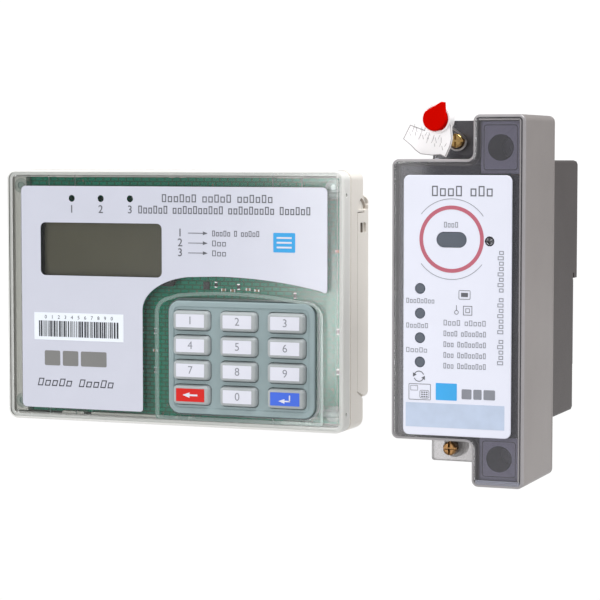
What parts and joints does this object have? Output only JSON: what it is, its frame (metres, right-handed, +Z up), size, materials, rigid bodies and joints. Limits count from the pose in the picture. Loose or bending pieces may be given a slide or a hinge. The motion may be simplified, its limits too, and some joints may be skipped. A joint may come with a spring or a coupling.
{
  "type": "prepaid electricity meter",
  "caption": "Split prepaid electricity meter: wall keypad unit with display and sprung keys, and a narrow rail-mounted measuring unit with terminals and a twist seal.",
  "frame": {"origin": "middle of the keypad bracket's back face, on the wall plane", "axes": "+Z up, +X to the right as seen from the front, +Y into the wall"},
  "size_m": [0.2376, 0.0821, 0.139],
  "materials": {
    "beige_plastic": "fine satin moulded",
    "clear_plastic": "clear polycarbonate",
    "white_label": "satin printed film",
    "green_board": "solder-masked board",
    "display_frame": "satin",
    "display_glass": "grey-green reflective display",
    "keymat_silicone": "soft matt",
    "key_silicone": "soft matt, printed",
    "key_red": "soft matt, printed red",
    "key_blue": "soft matt, printed blue",
    "lamp_green": "unlit lamp",
    "black_component": "satin",
    "terminal_green": "satin",
    "copper": "bright copper",
    "laminated_core": "varnished laminations",
    "steel": "plated",
    "brass": "bright brass",
    "dark_plastic": "fine texture",
    "smoked_plastic": "smoked polycarbonate",
    "carrier_plastic": "satin",
    "grey_window": "infrared-clear window",
    "relay_case": "satin",
    "seal_clear": "clear",
    "seal_red": "gloss"
  },
  "bodies": {
    "fixed_parts": {"wall_bracket": "beige_plastic", "meter_base": "dark_plastic", "meter_cover": "smoked_plastic", "meter_label_plate": "white_label", "optical_window": "grey_window", "label_screw": "steel", "inner_carrier": "carrier_plastic", "metering_board": "green_board", "power_board": "green_board", "latching_relay": "relay_case", "power_transformer": "laminated_core", "reservoir_capacitor": "black_component", "current_shunt": "copper", "load_busbar": "copper", "line_terminal_block": "carrier_plastic", "load_terminal_block": "carrier_plastic", "line_terminal_barrel": "brass", "load_terminal_barrel": "brass", "line_terminal_screw": "steel", "load_terminal_screw": "steel", "seal_screw_top": "brass", "seal_screw_bottom": "brass", "indicator_window_1": "grey_window", "indicator_window_2": "grey_window", "indicator_window_3": "grey_window", "indicator_window_4": "grey_window"},
    "keypad_housing": {"keypad_rear_case": "beige_plastic", "keypad_front_cover": "clear_plastic", "keypad_label": "white_label", "keypad_circuit_board": "green_board", "lcd_frame": "display_frame", "lcd_glass": "display_glass", "keymat": "keymat_silicone", "keypad_led_1": "lamp_green", "keypad_led_2": "lamp_green", "keypad_led_3": "lamp_green", "keypad_microcontroller": "black_component", "keypad_buzzer": "black_component", "keypad_terminal_block": "terminal_green", "keypad_coupling_coil": "copper", "case_screw_1": "steel", "case_screw_2": "steel", "case_screw_3": "steel", "case_screw_4": "steel"},
    "key_1": {"key_1": "key_silicone"},
    "key_2": {"key_2": "key_silicone"},
    "key_3": {"key_3": "key_silicone"},
    "key_4": {"key_4": "key_silicone"},
    "key_5": {"key_5": "key_silicone"},
    "key_6": {"key_6": "key_silicone"},
    "key_7": {"key_7": "key_silicone"},
    "key_8": {"key_8": "key_silicone"},
    "key_9": {"key_9": "key_silicone"},
    "key_backspace": {"key_backspace": "key_red"},
    "key_0": {"key_0": "key_silicone"},
    "key_enter": {"key_enter": "key_blue"},
    "din_clip": {"din_clip": "black_component"},
    "seal": {"seal_body": "seal_clear", "seal_wire": "steel"},
    "seal_rotor": {"seal_rotor": "seal_red"}
  },
  "joints": [
    {"name": "keypad_pull_off", "type": "slide", "parent": "fixed_parts", "child": "keypad_housing", "axis": [0, -1, 0], "range_m": [0, 0.02]},
    {"name": "key_1_press", "type": "slide", "parent": "keypad_housing", "child": "key_1", "axis": [0, 1, 0], "range_m": [0, 0.0012], "stiffness_N_per_m": 900, "springref_m": -0.0004},
    {"name": "key_2_press", "type": "slide", "parent": "keypad_housing", "child": "key_2", "axis": [0, 1, 0], "range_m": [0, 0.0012], "stiffness_N_per_m": 900, "springref_m": -0.0004},
    {"name": "key_3_press", "type": "slide", "parent": "keypad_housing", "child": "key_3", "axis": [0, 1, 0], "range_m": [0, 0.0012], "stiffness_N_per_m": 900, "springref_m": -0.0004},
    {"name": "key_4_press", "type": "slide", "parent": "keypad_housing", "child": "key_4", "axis": [0, 1, 0], "range_m": [0, 0.0012], "stiffness_N_per_m": 900, "springref_m": -0.0004},
    {"name": "key_5_press", "type": "slide", "parent": "keypad_housing", "child": "key_5", "axis": [0, 1, 0], "range_m": [0, 0.0012], "stiffness_N_per_m": 900, "springref_m": -0.0004},
    {"name": "key_6_press", "type": "slide", "parent": "keypad_housing", "child": "key_6", "axis": [0, 1, 0], "range_m": [0, 0.0012], "stiffness_N_per_m": 900, "springref_m": -0.0004},
    {"name": "key_7_press", "type": "slide", "parent": "keypad_housing", "child": "key_7", "axis": [0, 1, 0], "range_m": [0, 0.0012], "stiffness_N_per_m": 900, "springref_m": -0.0004},
    {"name": "key_8_press", "type": "slide", "parent": "keypad_housing", "child": "key_8", "axis": [0, 1, 0], "range_m": [0, 0.0012], "stiffness_N_per_m": 900, "springref_m": -0.0004},
    {"name": "key_9_press", "type": "slide", "parent": "keypad_housing", "child": "key_9", "axis": [0, 1, 0], "range_m": [0, 0.0012], "stiffness_N_per_m": 900, "springref_m": -0.0004},
    {"name": "key_backspace_press", "type": "slide", "parent": "keypad_housing", "child": "key_backspace", "axis": [0, 1, 0], "range_m": [0, 0.0012], "stiffness_N_per_m": 900, "springref_m": -0.0004},
    {"name": "key_0_press", "type": "slide", "parent": "keypad_housing", "child": "key_0", "axis": [0, 1, 0], "range_m": [0, 0.0012], "stiffness_N_per_m": 900, "springref_m": -0.0004},
    {"name": "key_enter_press", "type": "slide", "parent": "keypad_housing", "child": "key_enter", "axis": [0, 1, 0], "range_m": [0, 0.0012], "stiffness_N_per_m": 900, "springref_m": -0.0004},
    {"name": "din_clip_pull", "type": "slide", "parent": "fixed_parts", "child": "din_clip", "axis": [0, 0, -1], "range_m": [0, 0.004], "stiffness_N_per_m": 2500, "springref_m": -0.002},
    {"name": "seal_swing", "type": "hinge", "parent": "fixed_parts", "child": "seal", "pos_m": [0.1273, -0.0465, 0.0634], "axis": [0, 1, 0], "range_deg": [0, 90]},
    {"name": "seal_rotor_turn", "type": "hinge", "parent": "seal", "child": "seal_rotor", "pos_m": [0.1262, -0.071, 0.0712], "axis": [0, 1, 0], "range_deg": [0, 270]}
  ]
}
